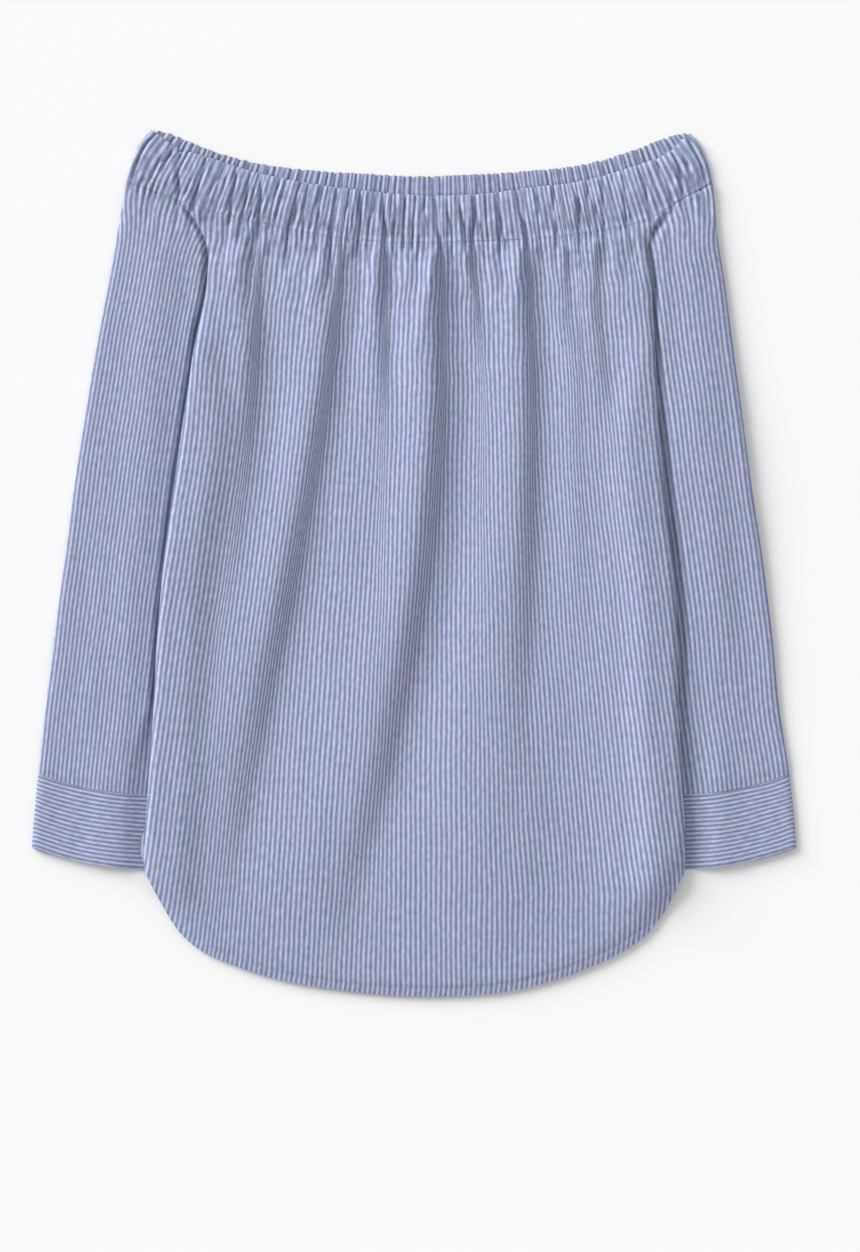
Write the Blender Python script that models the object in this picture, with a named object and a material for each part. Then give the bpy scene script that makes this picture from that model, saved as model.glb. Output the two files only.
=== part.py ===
"""Off-shoulder top in striped cotton, laid out flat with its front upwards.

Lengths are millimetres until a mesh is made. X runs to the right across the laid garment, Y
towards its neck and Z up from the surface that it lies on. The origin is on that surface, under
the middle of the garment.
"""
import math

import bmesh
import bpy
import numpy as np

MILLIMETRE = 0.001

# Walls, and the room between them
WALL = 1.2
CUFF_WALL = 1.6
CASING_WALL = 2.0
SEAM_GAP = 0.3
LAYER_GAP = 0.6
CASING_GAP = 0.6

# Sleeves: how high they lie, in sight and where the body presses them flat
SLEEVE_HEIGHT = 5.6
CUFF_HEIGHT = 6.2
PRESSED_HEIGHT = 4.0
ARMHOLE_HEIGHT = 2.7
SLEEVE_ROLL = 9.0
SLEEVE_RISE = 14.0
ROLL_COLUMNS = (2.0, 5.0, 10.0)
SPREAD_COLUMNS = 4
LOW_COLUMNS = (0.35, 0.7)
FOLD_COLUMN = 3.0
ROLL_COLUMN_LOW = 4.0
ROLL_INSET = 0.6
SLEEVE_SECTIONS = (0.0, 0.03, 0.07, 0.12, 0.19, 0.265, 0.33, 0.42, 0.52, 0.62, 0.72, 0.82, 0.92, 1.0)
UNDERARM_SECTION = 5

# Where the sleeves pass under the body
UNDERARM = 173.0
ARMHOLE_LAP = 5.0
TUCK = 24.0
TUCK_LENGTH = 70.0
RAMP = 26.0
LIFT_LENGTH = 32.0

# Cuffs, whose edges bow down towards the body
CUFF_SEAM = -190.0
CUFF_END = -251.0
CUFF_CLEARANCE = 8.0
CUFF_BOW = 18.2
CUFF_BOW_POWER = 2.4
CUFF_SECTIONS = (0.0, 0.12, 0.5, 0.88, 1.0)
CUFF_EDGE_HEIGHT = 5.8

# Front panel: rows below the casing, and how far it stands off the back panel
FRONT_WAVES = 40
COLUMNS_PER_WAVE = 3
GATHER_DROPS = (0.0, 7.0, 18.0, 33.0, 52.0, 74.0)
PLAIN_DROP = 92.0
PLAIN_ROWS = 15
HEM_DEPTH = 11.0
HEM_THICKER = 0.4
EDGE_ROLL = 14.0
MEAN_LIFT = 1.7
LEAST_LIFT = 0.4
MOST_LIFT = 3.1
HEM_LIFT = 0.5
CORNER_LIFT = 0.6
GATHER_HEIGHT = 1.1
GATHER_START = 4.0
GATHER_REACH = 55.0
GATHER_REACH_SPREAD = 20.0
GATHER_REACH_TURN = 2.4

# Back panel: its hem is drawn up a little, so that the front's hem covers it
BACK_INSET = 2.0
SLEEVE_TO_SIDE = 0.889
BACK_SHARES = tuple(SLEEVE_TO_SIDE * section for section in SLEEVE_SECTIONS) + (0.92, 0.95, 0.975, 1.0)
BACK_SIDE_COLUMNS = (0.0, 8.0, 16.0, 24.0, 31.0, 38.0, 45.0, 54.0)
BACK_MIDDLE_COLUMNS = 12

# Neck casing: corners, gathers and heights of its two layers
CASING_TOP_CORNERS = (-215.5, 226.6)
CASING_LOW_CORNERS = (-234.7, 242.9)
CASING_WAVES_FRONT = 48
CASING_WAVES_BACK = 60
CASING_END = 0.012
CASING_GATHER = (0.8, 0.2, 1.9)
CASING_CORNER = 0.07
CASING_BULGE = 3.0
CASING_CROWN = 0.6
CASING_FRONT_BASE = 3.9
CASING_BACK_HEIGHT = 2.0
CASING_BACK_GATHER = 0.45
CASING_FOLD_HEIGHT = 2.6


def table(names, *rows):
    """A table whose columns are read by name."""
    return {name: np.array([row[at] for row in rows], float) for at, name in enumerate(names.split())}


# The laid outline: sleeve edges, and the body's edges that lie on the sleeves
OUTLINE = table(
    "at left_outer left_edge right_edge right_outer",
    (-262, -312.0, -219.5, 219.5, 312.0),
    (-235, -311.3, -219.5, 220.7, 311.3),
    (-180, -306.8, -216.0, 218.5, 306.5),
    (-120, -300.5, -212.0, 215.2, 297.5),
    (-60, -293.0, -208.8, 214.5, 291.5),
    (0, -285.0, -203.5, 210.5, 284.0),
    (60, -277.0, -195.5, 203.5, 275.0),
    (120, -268.0, -187.0, 199.0, 267.0),
    (180, -258.0, -178.0, 195.8, 259.0),
    (230, -248.5, -168.7, 194.0, 252.5),
    (262, -242.5, -170.0, 191.5, 247.5),
    (290, -237.5, -186.5, 207.5, 245.0),
    (310, -234.5, -198.0, 222.0, 243.0),
)

# The hem, from the left edge of the body (0) to its right edge (1)
HEM = table(
    "at y",
    (0.00, -250.0),
    (0.03, -276.5),
    (0.06, -298.5),
    (0.10, -315.0),
    (0.16, -327.5),
    (0.23, -338.0),
    (0.35, -348.0),
    (0.53, -353.7),
    (0.70, -347.5),
    (0.82, -331.0),
    (0.90, -313.5),
    (0.94, -299.5),
    (0.97, -280.0),
    (1.00, -252.0),
)

# The casing's edges, from its left corner (0) to its right corner (1)
CASING = table(
    "at back_top front_top front_low",
    (0.00, 353.7, 353.7, 309.7),
    (0.05, 347.0, 337.2, 301.0),
    (0.10, 337.5, 330.2, 292.3),
    (0.20, 324.8, 316.4, 279.0),
    (0.30, 319.0, 307.4, 268.7),
    (0.40, 316.2, 301.9, 261.6),
    (0.50, 314.1, 298.0, 260.0),
    (0.60, 315.8, 299.0, 260.7),
    (0.70, 318.6, 304.2, 262.8),
    (0.80, 323.9, 310.2, 269.0),
    (0.90, 336.8, 323.0, 281.0),
    (0.95, 345.5, 331.6, 295.5),
    (1.00, 351.3, 351.3, 308.1),
)

# Folds of the front panel: a ridge with a trough on its right, along a path of four stations
FOLDS = (
    # name, top, end, x at the four stations, height, half width
    ("left_side", 262, 8, (-125, -130, -154, -166), 1.6, 13),
    ("left_long", 250, -235, (-55, -82, -119, -142), 1.6, 13),
    ("left_short", 245, 130, (-25, -25, -26, -27), 0.8, 6),
    ("middle_long", 246, -276, (23, 19, -15, -60), 1.9, 14),
    ("middle_short", 254, 180, (48, 50, 52, 54), 0.8, 7),
    ("right_long", 254, -195, (92, 96, 87, 82), 1.5, 12),
    ("right_short", 250, 170, (122, 124, 126, 128), 0.7, 8),
    ("right_side", 262, 120, (152, 152, 156, 160), 0.7, 10),
)

# Creases along the sleeves, written like the folds
SLEEVE_CREASES = {
    "left": (("outer", 230, -30, (-222, -228, -236, -246), 0.7, 10),),
    "right": (("inner", 200, -120, (226, 234, 246, 256), 0.6, 12),),
}

SIDES = ("left", "right")
INWARD = {"left": 1.0, "right": -1.0}

CLOTH = (0.337, 0.381, 0.521, 1.0)
CASING_CLOTH = (0.360, 0.400, 0.530, 1.0)
CUFF_CLOTH = (0.362, 0.392, 0.515, 1.0)
CLOTH_ROUGHNESS = 0.85


def blend(low, high, share):
    return low + (high - low) * share


def fade(start, end, value):
    """0 at start and 1 at end, with a soft change between them."""
    share = min(max((value - start) / (end - start), 0.0), 1.0)
    return share * share * (3.0 - 2.0 * share)


def curve(data, column, at):
    """A column of a table, read on a smooth curve through its rows."""
    keys, values = data["at"], data[column]
    at = min(max(at, keys[0]), keys[-1])
    row = min(max(int(np.searchsorted(keys, at)) - 1, 0), len(keys) - 2)
    span = keys[row + 1] - keys[row]
    share = (at - keys[row]) / span
    slopes = np.gradient(values, keys)
    hump = share * (1.0 - share)
    straight = blend(values[row], values[row + 1], share)
    lean = (values[row + 1] - values[row]) / span
    start = (slopes[row] - lean) * (1.0 - share)
    finish = (slopes[row + 1] - lean) * share
    return float(straight + hump * span * (start - finish))


def station(places, share):
    """The cubic curve through four evenly spaced stations."""
    keys = np.linspace(0.0, 1.0, len(places))
    total = 0.0
    for here, place in enumerate(places):
        weight = 1.0
        for other, key in enumerate(keys):
            if other != here:
                weight *= (share - key) / (keys[here] - key)
        total += place * weight
    return total


def fold_height(folds, x, y):
    """Heights of the folds at a point, each fading in and out along its length."""
    total = 0.0
    for _name, top, end, places, height, half_width in folds:
        share = (top - y) / (top - end)
        if 0.0 < share < 1.0:
            away = (x - station(places, share)) / half_width
            strength = fade(0.0, 0.1, share) * fade(1.0, 0.6, share)
            total -= strength * height * away * math.exp(0.5 - 0.5 * away * away)
    return total


def outer(side, y):
    return curve(OUTLINE, side + "_outer", y)


def edge(side, y):
    return curve(OUTLINE, side + "_edge", y)


def tucked(side, y):
    """The sleeve's inner edge, hidden under the body."""
    tuck = blend(ARMHOLE_LAP, TUCK, fade(UNDERARM, UNDERARM - TUCK_LENGTH, y))
    return edge(side, y) + INWARD[side] * tuck


def edge_distance(x, y):
    return min(INWARD[side] * (x - edge(side, y)) for side in SIDES)


def below_underarm(y):
    return fade(UNDERARM + LIFT_LENGTH, UNDERARM, y)


def casing_share(x):
    """How far along the casing's lower edge a point lies."""
    left, right = CASING_LOW_CORNERS
    return (x - left) / (right - left)


def front_line(x):
    return curve(CASING, "front_low", casing_share(x))


def back_line(x):
    share = casing_share(x)
    rise = curve(CASING, "back_top", share) - curve(CASING, "front_top", share)
    return curve(CASING, "front_low", share) + rise


def back_bottom(x, y):
    """Underside of the back panel: on the floor, and over the sleeves at the sides."""
    rise = 0.0
    for side in SIDES:
        inside = INWARD[side] * (x - tucked(side, y))
        rise = max(rise, 1.0 - fade(0.0, RAMP, inside))
    past_cuff = CUFF_END - CUFF_CLEARANCE
    sleeve_under = below_underarm(y) * fade(past_cuff - LIFT_LENGTH, past_cuff, y)
    return rise * sleeve_under * (PRESSED_HEIGHT + LAYER_GAP)


def front_bottom(x, y, hem, gather):
    """Underside of the front panel, which its folds and gathers lift off the back panel."""
    inside = edge_distance(x, y)
    seam = fade(0.0, EDGE_ROLL, inside)
    gap = blend(SEAM_GAP, LAYER_GAP, seam) + CORNER_LIFT * fade(CUFF_END + RAMP, CUFF_END, y)
    lap = fade(ARMHOLE_LAP + RAMP, ARMHOLE_LAP + FOLD_COLUMN, inside) * (1.0 - below_underarm(y))
    over_lap = lap * (ARMHOLE_HEIGHT - WALL)
    lift = MEAN_LIFT + fold_height(FOLDS, x, y) + gather
    lift = min(max(lift, LEAST_LIFT), MOST_LIFT)
    lift = blend(HEM_LIFT, lift, fade(hem, hem + RAMP, y)) * seam
    return back_bottom(x, y) + WALL + gap + over_lap + lift


def sleeve_top(side, x, y, height):
    """Upper face of a sleeve or cuff: rolled at its outer edge and pressed flat by the body."""
    outside = -INWARD[side] * (x - edge(side, y))
    from_outer = INWARD[side] * (x - outer(side, y))
    pressed = blend(ARMHOLE_HEIGHT, PRESSED_HEIGHT, below_underarm(y))
    level = height + fold_height(SLEEVE_CREASES[side], x, y)
    level = blend(pressed, level, fade(0.0, SLEEVE_RISE, outside))
    if from_outer < SLEEVE_ROLL:
        turn = 1.0 - max(from_outer, 0.0) / SLEEVE_ROLL
        level = blend(height / 2, level, math.sqrt(1.0 - turn * turn))
    return level


def tidy_scene():
    for item in list(bpy.data.objects):
        bpy.data.objects.remove(item, do_unlink=True)
    for mesh in list(bpy.data.meshes):
        bpy.data.meshes.remove(mesh)


def cloth_material(name, colour):
    material = bpy.data.materials.new(name)
    material.use_nodes = True
    shader = material.node_tree.nodes["Principled BSDF"]
    shader.inputs["Base Color"].default_value = colour
    shader.inputs["Roughness"].default_value = CLOTH_ROUGHNESS
    shader.inputs["Metallic"].default_value = 0.0
    material.diffuse_color = colour
    return material


def add_wall(name, faces, outside, inside, colour):
    """A closed wall between two like surfaces, with rims along their free edges."""
    count = len(outside)
    used = {(face[at - 1], face[at]) for face in faces for at in range(len(face))}
    every = [tuple(face) for face in faces]
    every += [tuple(at + count for at in reversed(face)) for face in faces]
    every += [(b, a, a + count, b + count) for a, b in sorted(used) if (b, a) not in used]
    points = np.array(list(outside) + list(inside)) * MILLIMETRE
    mesh = bpy.data.meshes.new(name)
    mesh.from_pydata(points.tolist(), [], every)
    form = bmesh.new()
    form.from_mesh(mesh)
    bmesh.ops.recalc_face_normals(form, faces=form.faces)
    form.to_mesh(mesh)
    form.free()
    mesh.shade_smooth()
    mesh.materials.append(cloth_material(name + "_cloth", colour))
    piece = bpy.data.objects.new(name, mesh)
    bpy.context.scene.collection.objects.link(piece)
    return piece


def strip_faces(upper, lower):
    """Quads between two rows of point numbers of the same length."""
    faces = []
    for at in range(len(upper) - 1):
        faces.append((upper[at], lower[at], lower[at + 1], upper[at + 1]))
    return faces


def thinning_faces(fine, coarse):
    """Faces between a fine row and a row with a third of its columns."""
    faces = []
    for at in range(len(coarse) - 1):
        a, b, c, d = fine[COLUMNS_PER_WAVE * at:COLUMNS_PER_WAVE * at + 4]
        left, right = coarse[at], coarse[at + 1]
        faces += [(a, left, b), (b, left, right, c), (c, right, d)]
    return faces


def settle(start, line, place):
    """The point where a column meets a line, both of which depend on each other."""
    x = start
    for _round in range(8):
        y = line(x)
        x = place(y)
    return x, y


def build_front():
    """The front panel, gathered along the casing."""
    outside, inside, faces = [], [], []

    def place(share, y):
        return blend(edge("left", y), edge("right", y), share)

    def add_point(share, wave, row, drop=None, along=None):
        start = blend(edge("left", UNDERARM), edge("right", UNDERARM), share)
        _x, top = settle(start, lambda x: front_line(x) - SEAM_GAP, lambda y: place(share, y))
        hem = curve(HEM, "y", share)
        if drop is not None:
            y = top - drop
        elif along is not None:
            y = blend(top - PLAIN_DROP, hem + HEM_DEPTH, along)
        else:
            y = hem
        x = place(share, y)
        reach = GATHER_REACH + GATHER_REACH_SPREAD * math.sin(GATHER_REACH_TURN * round(wave))
        gather = GATHER_HEIGHT * math.cos(2.0 * math.pi * wave) * fade(reach, GATHER_START, top - y)
        bottom = front_bottom(x, y, hem, gather)
        thick = WALL + (HEM_THICKER if y <= hem + HEM_DEPTH else 0.0)
        row.append(len(outside))
        outside.append((x, y, bottom + thick))
        inside.append((x, y, bottom))

    fine_columns = FRONT_WAVES * COLUMNS_PER_WAVE
    above = None
    for drop in GATHER_DROPS:
        row = []
        for column in range(fine_columns + 1):
            add_point(column / fine_columns, column / COLUMNS_PER_WAVE, row, drop=drop)
        if above:
            faces += strip_faces(above, row)
        above = row
    rows_along = [step / PLAIN_ROWS for step in range(PLAIN_ROWS + 1)] + [None]
    for step, along in enumerate(rows_along):
        row = []
        for column in range(FRONT_WAVES + 1):
            add_point(column / FRONT_WAVES, column, row, along=along)
        faces += thinning_faces(above, row) if step == 0 else strip_faces(above, row)
        above = row
    add_wall("front_panel", faces, outside, inside, CLOTH)


def back_edge(side, y):
    """The back panel stops at the sleeve's back above the underarm, and at the side seam below."""
    short = (ARMHOLE_LAP + SEAM_GAP + 0.2) * fade(UNDERARM - LIFT_LENGTH, UNDERARM, y)
    return edge(side, y) + INWARD[side] * short


def build_back():
    """The back panel, flat on the surface between the sleeves."""
    outside, inside, faces = [], [], []
    middle = [step / BACK_MIDDLE_COLUMNS for step in range(1, BACK_MIDDLE_COLUMNS)]
    columns = [("left", inset) for inset in BACK_SIDE_COLUMNS]
    columns += [("middle", share) for share in middle]
    columns += [("right", inset) for inset in reversed(BACK_SIDE_COLUMNS)]

    def place(column, y):
        kind, value = column
        if kind == "middle":
            reach = BACK_SIDE_COLUMNS[-1]
            return blend(back_edge("left", y) + reach, back_edge("right", y) - reach, value)
        return back_edge(kind, y) + INWARD[kind] * value

    above = None
    for along in BACK_SHARES:
        row = []
        for column in columns:
            start = place(column, UNDERARM)
            _x, top = settle(start, lambda x: back_line(x) - CASING_GAP, lambda y: place(column, y))
            low_x = place(column, CUFF_END)
            share = (low_x - edge("left", CUFF_END)) / (edge("right", CUFF_END) - edge("left", CUFF_END))
            hem = curve(HEM, "y", share) + BACK_INSET
            y = blend(top, hem, along)
            x = place(column, y)
            bottom = back_bottom(x, y)
            row.append(len(outside))
            outside.append((x, y, bottom + WALL))
            inside.append((x, y, bottom))
        if above:
            faces += strip_faces(above, row)
        above = row
    add_wall("back_panel", faces, outside, inside, CLOTH)


def tube_columns(side, y):
    """Places across a sleeve, from the inner fold over the top to the outer fold and back below."""
    inward = INWARD[side]
    far, near, inner = outer(side, y), edge(side, y), tucked(side, y)
    rolled = [far + inward * step for step in ROLL_COLUMNS]
    risen = near - inward * SLEEVE_RISE
    spread = [
        blend(risen, rolled[-1], step / (SPREAD_COLUMNS + 1)) for step in range(1, SPREAD_COLUMNS + 1)
    ]
    top = [near, near - inward * SLEEVE_RISE / 2, risen] + spread + rolled[::-1]
    low = [far + inward * ROLL_COLUMN_LOW] + [blend(far, inner, share) for share in LOW_COLUMNS]
    by_fold = inner - inward * FOLD_COLUMN
    return {"inner": inner, "top": [by_fold] + top, "far": far, "low": low + [by_fold]}


def tube_points(side, y_of, height, wall, closed):
    """One section of a sleeve or cuff, as its outer and its inner points."""
    inward = INWARD[side]
    outside, inside = [], []

    def find(kind, at, sheet):
        def place(y):
            found = tube_columns(side, y)[kind]
            return found[at] if at is not None else found
        return y_of(place, sheet)

    x, y = find("inner", None, "front")
    if closed:
        outside.append((x, y, PRESSED_HEIGHT / 2))
        inside.append((x - inward * wall, y, PRESSED_HEIGHT / 2))
    else:
        low = WALL + SEAM_GAP
        outside.append((x, y, low + wall))
        inside.append((x, y, low))
    for at in range(len(tube_columns(side, 0.0)["top"])):
        x, y = find("top", at, "front")
        level = sleeve_top(side, x, y, height)
        from_outer = inward * (x - outer(side, y))
        shift = inward * wall * (1.0 - fade(0.0, SLEEVE_ROLL, from_outer)) * ROLL_INSET
        outside.append((x, y, level))
        inside.append((x + shift, y, level - wall))
    x, y = find("far", None, "front")
    outside.append((x, y, height / 2))
    inside.append((x + inward * wall, y, height / 2))
    for at in range(len(tube_columns(side, 0.0)["low"])):
        x, y = find("low", at, "back")
        outside.append((x, y, 0.0))
        inside.append((x, y, wall))
    if not closed:
        x, y = find("inner", None, "back")
        outside.append((x, y, 0.0))
        inside.append((x, y, WALL))
    return outside, inside


def cuff_line(side, x, level):
    """The bowed line across a sleeve's end at a level."""
    inner, far = tucked(side, level), outer(side, level)
    share = min(max((x - inner) / (far - inner), 0.0), 1.0)
    return level + CUFF_BOW * share ** CUFF_BOW_POWER


def build_tube(name, side, sections, top_lines, end_line, height, wall, slit, colour):
    """A flattened tube, with its first sections open along the inner edge as far as slit."""
    outside, inside, faces = [], [], []
    above = None
    for number, along in enumerate(sections):
        def y_of(place, sheet, along=along):
            start = place(0.0)
            _x, top = settle(start, top_lines[sheet], place)
            _x, end = settle(start, end_line, place)
            y = blend(top, end, along)
            return place(y), y

        closed = number >= slit
        out_points, in_points = tube_points(side, y_of, height(number), wall, closed)
        row = list(range(len(outside), len(outside) + len(out_points)))
        outside += out_points
        inside += in_points
        if closed:
            row.append(row[0])
        if above:
            faces += strip_faces(above, row)
        above = row
    return add_wall(name, faces, outside, inside, colour)


def build_sleeve(side):
    """A sleeve, open along its armhole and closed from the underarm down."""
    lines = {
        "front": lambda x: front_line(x) - CASING_GAP,
        "back": lambda x: back_line(x) - CASING_GAP,
    }
    build_tube(
        "sleeve_" + side, side, SLEEVE_SECTIONS, lines,
        lambda x: cuff_line(side, x, CUFF_SEAM) + SEAM_GAP / 2,
        lambda _number: SLEEVE_HEIGHT, WALL, UNDERARM_SECTION, CLOTH)


def build_cuff(side):
    """A plain straight cuff, a little thicker than the sleeve."""
    seam = {sheet: lambda x: cuff_line(side, x, CUFF_SEAM) - SEAM_GAP / 2 for sheet in ("front", "back")}
    last = len(CUFF_SECTIONS) - 1
    build_tube(
        "cuff_" + side, side, CUFF_SECTIONS, seam,
        lambda x: cuff_line(side, x, CUFF_END),
        lambda number: CUFF_EDGE_HEIGHT if number in (0, last) else CUFF_HEIGHT,
        CUFF_WALL, 0, CUFF_CLOTH)


def casing_point(share, down, layer):
    """A point of the casing by its place along the neck and down its height."""
    x = blend(blend(*CASING_TOP_CORNERS, share), blend(*CASING_LOW_CORNERS, share), down)
    rise = 0.0
    top = curve(CASING, "front_top", share)
    if layer == "back":
        rise = curve(CASING, "back_top", share) - top
    y = blend(top, curve(CASING, "front_low", share), down) + rise
    bulge = CASING_BULGE * math.sin(math.pi * down)
    x += bulge * (fade(0.9, 1.0, share) - fade(0.1, 0.0, share))
    return x, y


def build_casing():
    """The elastic casing round the neck, gathered all round and laid double."""
    outside, inside, faces = [], [], []
    downs = (0.0, 0.5, 1.0)
    front_count = CASING_WAVES_FRONT * COLUMNS_PER_WAVE
    back_count = CASING_WAVES_BACK * 2
    first, last = CASING_END, 1.0 - CASING_END
    front = [("front", blend(first, last, at / front_count), at) for at in range(front_count + 1)]
    back = [("back", blend(last, first, at / back_count), at) for at in range(back_count + 1)]
    columns = front + [("fold", 1.0, 0)] + back + [("fold", 0.0, 0)]
    fold_inset = CASING_WALL / (CASING_LOW_CORNERS[1] - CASING_LOW_CORNERS[0])

    rows = []
    for down in downs:
        row = []
        crown = CASING_CROWN * math.sin(math.pi * down)
        for kind, share, at in columns:
            row.append(len(outside))
            if kind == "front":
                x, y = casing_point(share, down, "front")
                mean, spread, turn = CASING_GATHER
                gather = math.cos(2.0 * math.pi * at / COLUMNS_PER_WAVE) * (mean + spread * math.sin(turn * at))
                corner = min(share, 1.0 - share)
                bottom = CASING_FRONT_BASE + gather * fade(-CASING_END, CASING_CORNER, corner)
                outside.append((x, y, bottom + CASING_WALL + crown))
                inside.append((x, y, bottom))
            elif kind == "back":
                x, y = casing_point(share, down, "back")
                level = CASING_BACK_HEIGHT + CASING_BACK_GATHER * (1.0 if at % 2 else -1.0)
                outside.append((x, y, 0.0))
                inside.append((x, y, level))
            else:
                x, y = casing_point(share, down, "front")
                inner_share = share + (fold_inset if share == 0.0 else -fold_inset)
                inner_x, _inner_y = casing_point(inner_share, down, "front")
                outside.append((x, y, CASING_FOLD_HEIGHT))
                inside.append((inner_x, y, CASING_FOLD_HEIGHT))
        row.append(row[0])
        rows.append(row)
    for upper, lower in zip(rows, rows[1:]):
        faces += strip_faces(upper, lower)
    add_wall("neck_casing", faces, outside, inside, CASING_CLOTH)


def main():
    tidy_scene()
    build_casing()
    build_front()
    build_back()
    for side in SIDES:
        build_sleeve(side)
        build_cuff(side)


main()
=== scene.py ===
"""Looks of the off-shoulder top: shells of striped cotton on the laid garment's solids.

Lengths are millimetres until a mesh is made. X runs to the right, Y towards the neck and Z up
from the surface, as in the frame.
"""

import math
from collections import namedtuple

import bpy
import numpy as np
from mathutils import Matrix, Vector


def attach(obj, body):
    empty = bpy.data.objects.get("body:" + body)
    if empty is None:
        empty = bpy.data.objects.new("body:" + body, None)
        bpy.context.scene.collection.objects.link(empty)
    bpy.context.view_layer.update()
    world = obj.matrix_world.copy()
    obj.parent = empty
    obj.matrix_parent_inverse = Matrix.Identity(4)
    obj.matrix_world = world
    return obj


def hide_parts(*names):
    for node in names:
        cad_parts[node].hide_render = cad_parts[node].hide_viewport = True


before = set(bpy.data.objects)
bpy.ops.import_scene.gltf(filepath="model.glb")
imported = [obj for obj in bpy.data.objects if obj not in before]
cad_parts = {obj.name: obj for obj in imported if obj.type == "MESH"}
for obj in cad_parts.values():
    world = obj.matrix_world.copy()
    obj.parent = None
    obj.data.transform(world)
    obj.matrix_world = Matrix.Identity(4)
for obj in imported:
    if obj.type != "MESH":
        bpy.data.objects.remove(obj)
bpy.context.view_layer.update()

MILLIMETRE = 0.001
BODY = "root"

# The picture that the camera frames, where one pixel of the photo is 0.815 mm
PICTURE_HEIGHT = 1252 * 0.815
PICTURE_CENTRE = (13.0, -52.2)
CAMERA_HEIGHT = 3000.0
FLOOR_HALF = 4000.0
FLOOR_DROP = 0.4

# The key light's strength and its angles in degrees, and the surround's strength
KEY_STRENGTH = 3.35
KEY_WIDTH = 40
KEY_HEIGHT = 25
KEY_TURN = 36
SURROUND = 0.655

# Layers of the laid garment, as in its solids
WALL = 1.2
LAYER_GAP = 0.6
PRESSED_HEIGHT = 4.0
ARMHOLE_HEIGHT = 2.7
SLEEVE_ROLL = 6.0
SLEEVE_RISE = {"left": 5.0, "right": 10.0}
GUTTER_WIDTH = {"left": 0.0, "right": 2.4}
UNDERARM = 173.0
ARMHOLE_LAP = 5.0
TUCK = 24.0
TUCK_LENGTH = 70.0
RAMP = 26.0
LIFT_LENGTH = 32.0
CUFF_SEAM = -190.0
CUFF_END = -251.0
CUFF_CLEARANCE = 8.0
CUFF_BOW = 18.2
CUFF_BOW_POWER = 2.4
CASING_TOP_CORNERS = (-215.5, 226.6)
CASING_LOW_CORNERS = (-234.7, 242.9)
CASING_BULGE = 3.0

# Cloth, with its two colours in linear light
BLUE = (0.207, 0.235, 0.386)
WHITE = (0.447, 0.474, 0.602)
SHELL = 0.7
CASING_SHELL = 0.9
CUFF_SHELL = 1.1
SLEEVE_PERIOD = {"left": 3.5, "right": 3.95}
CUFF_PERIOD = 3.6
UPPER_PERIOD = 4.5
MIDDLE_PERIOD = 4.2
HEM_PERIOD = 4.14
STRIPES_OUT = {-1: -390.0, 1: -268.0}
MIDDLE = 13.0
FAN = 0.00067

# Front panel
EDGE_RADIUS = 6.0
MEAN_LIFT = 5.0
LEAST_LIFT = 0.3
HEM_WIDTH = 7.2
HEM_THICKER = 0.2
HEM_DRAWN_IN = 1.5
HEM_LIFT = 4.2
HEM_STRIPE_LEAN = 0.12
HEM_ROWS = (9.0, 7.9, 7.2, 6.4, 5.0, 2.5, 0.8, 0.0)

# Sleeves and cuffs
PUFF_TOP = 7.2
PUFF = {"left": 7.6, "right": 10.3}
SLEEVE_STRIPES_FROM = {"left": -210.0, "right": 222.0}
EDGE_BAND = 14.0
SLEEVE_LOWEST = 1.7
ARMHOLE_MIDDLE = 200.0
ARMHOLE_REACH = 42.0
SLEEVE_END = 6.2
CUFF_TOP = 5.4
SLEEVE_LEAN = {"left": -0.16, "right": 0.16}

# Sewing
STITCH_PITCH = 2.9
STITCH_LENGTH = 2.2
THREAD_RADIUS = 0.17
HEM_STITCHES = 6.2

# Columns of points
BACK_COLUMNS = 150
FRONT_COLUMNS = 430
CASING_COLUMNS = 900
CASING_BACK_COLUMNS = 460

# Casing
CASING_EDGE = 3.5
CASING_CROWN = 6.8
CASING_WIDTH = 44.0
CASING_ROLL = 8.0
LINE_HEIGHT = 7.0
LOWEST = 2.1
DEEPER = 2.5
BACK_INSIDE = 2.6
BACK_UNDER_FRONT = 1.0
BACK_CREASES = 80
BACK_CREASE_DEPTH = 2.4

# Where the back shows beside the front at the lower left, and how far
BACK_SHOWS_AT = -231.0
BACK_SHOWS = 4.8

# Rows of the tables below. Paths are x at four stations, evenly spaced from a row's top to its end
Crease = namedtuple("Crease", "top low casing panel reach drift stripes")
Fold = namedtuple("Fold", "name top end path height half_width stripes side full lean")
Swell = namedtuple("Swell", "x y half_width half_length height")
Ridge = namedtuple("Ridge", "top end path height half_width")


def table(names, *rows):
    """A table whose columns are read by name."""
    return {name: np.array([row[at] for row in rows], float) for at, name in enumerate(names.split())}


OUTLINE = table(
    "at left_outer left_edge right_edge right_outer",
    (-262, -312.0, -219.5, 219.5, 312.0),
    (-235, -311.3, -219.5, 220.7, 311.3),
    (-180, -306.8, -216.0, 218.5, 306.5),
    (-120, -300.5, -212.0, 215.2, 297.5),
    (-60, -293.0, -208.8, 214.5, 291.5),
    (0, -285.0, -203.5, 210.5, 284.0),
    (60, -277.0, -195.5, 203.5, 275.0),
    (120, -268.0, -187.0, 199.0, 267.0),
    (180, -258.0, -178.0, 195.8, 259.0),
    (230, -248.5, -168.7, 194.0, 252.5),
    (262, -242.5, -170.0, 191.5, 247.5),
    (290, -237.5, -186.5, 207.5, 245.0),
    (310, -234.5, -198.0, 222.0, 243.0),
)

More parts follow.
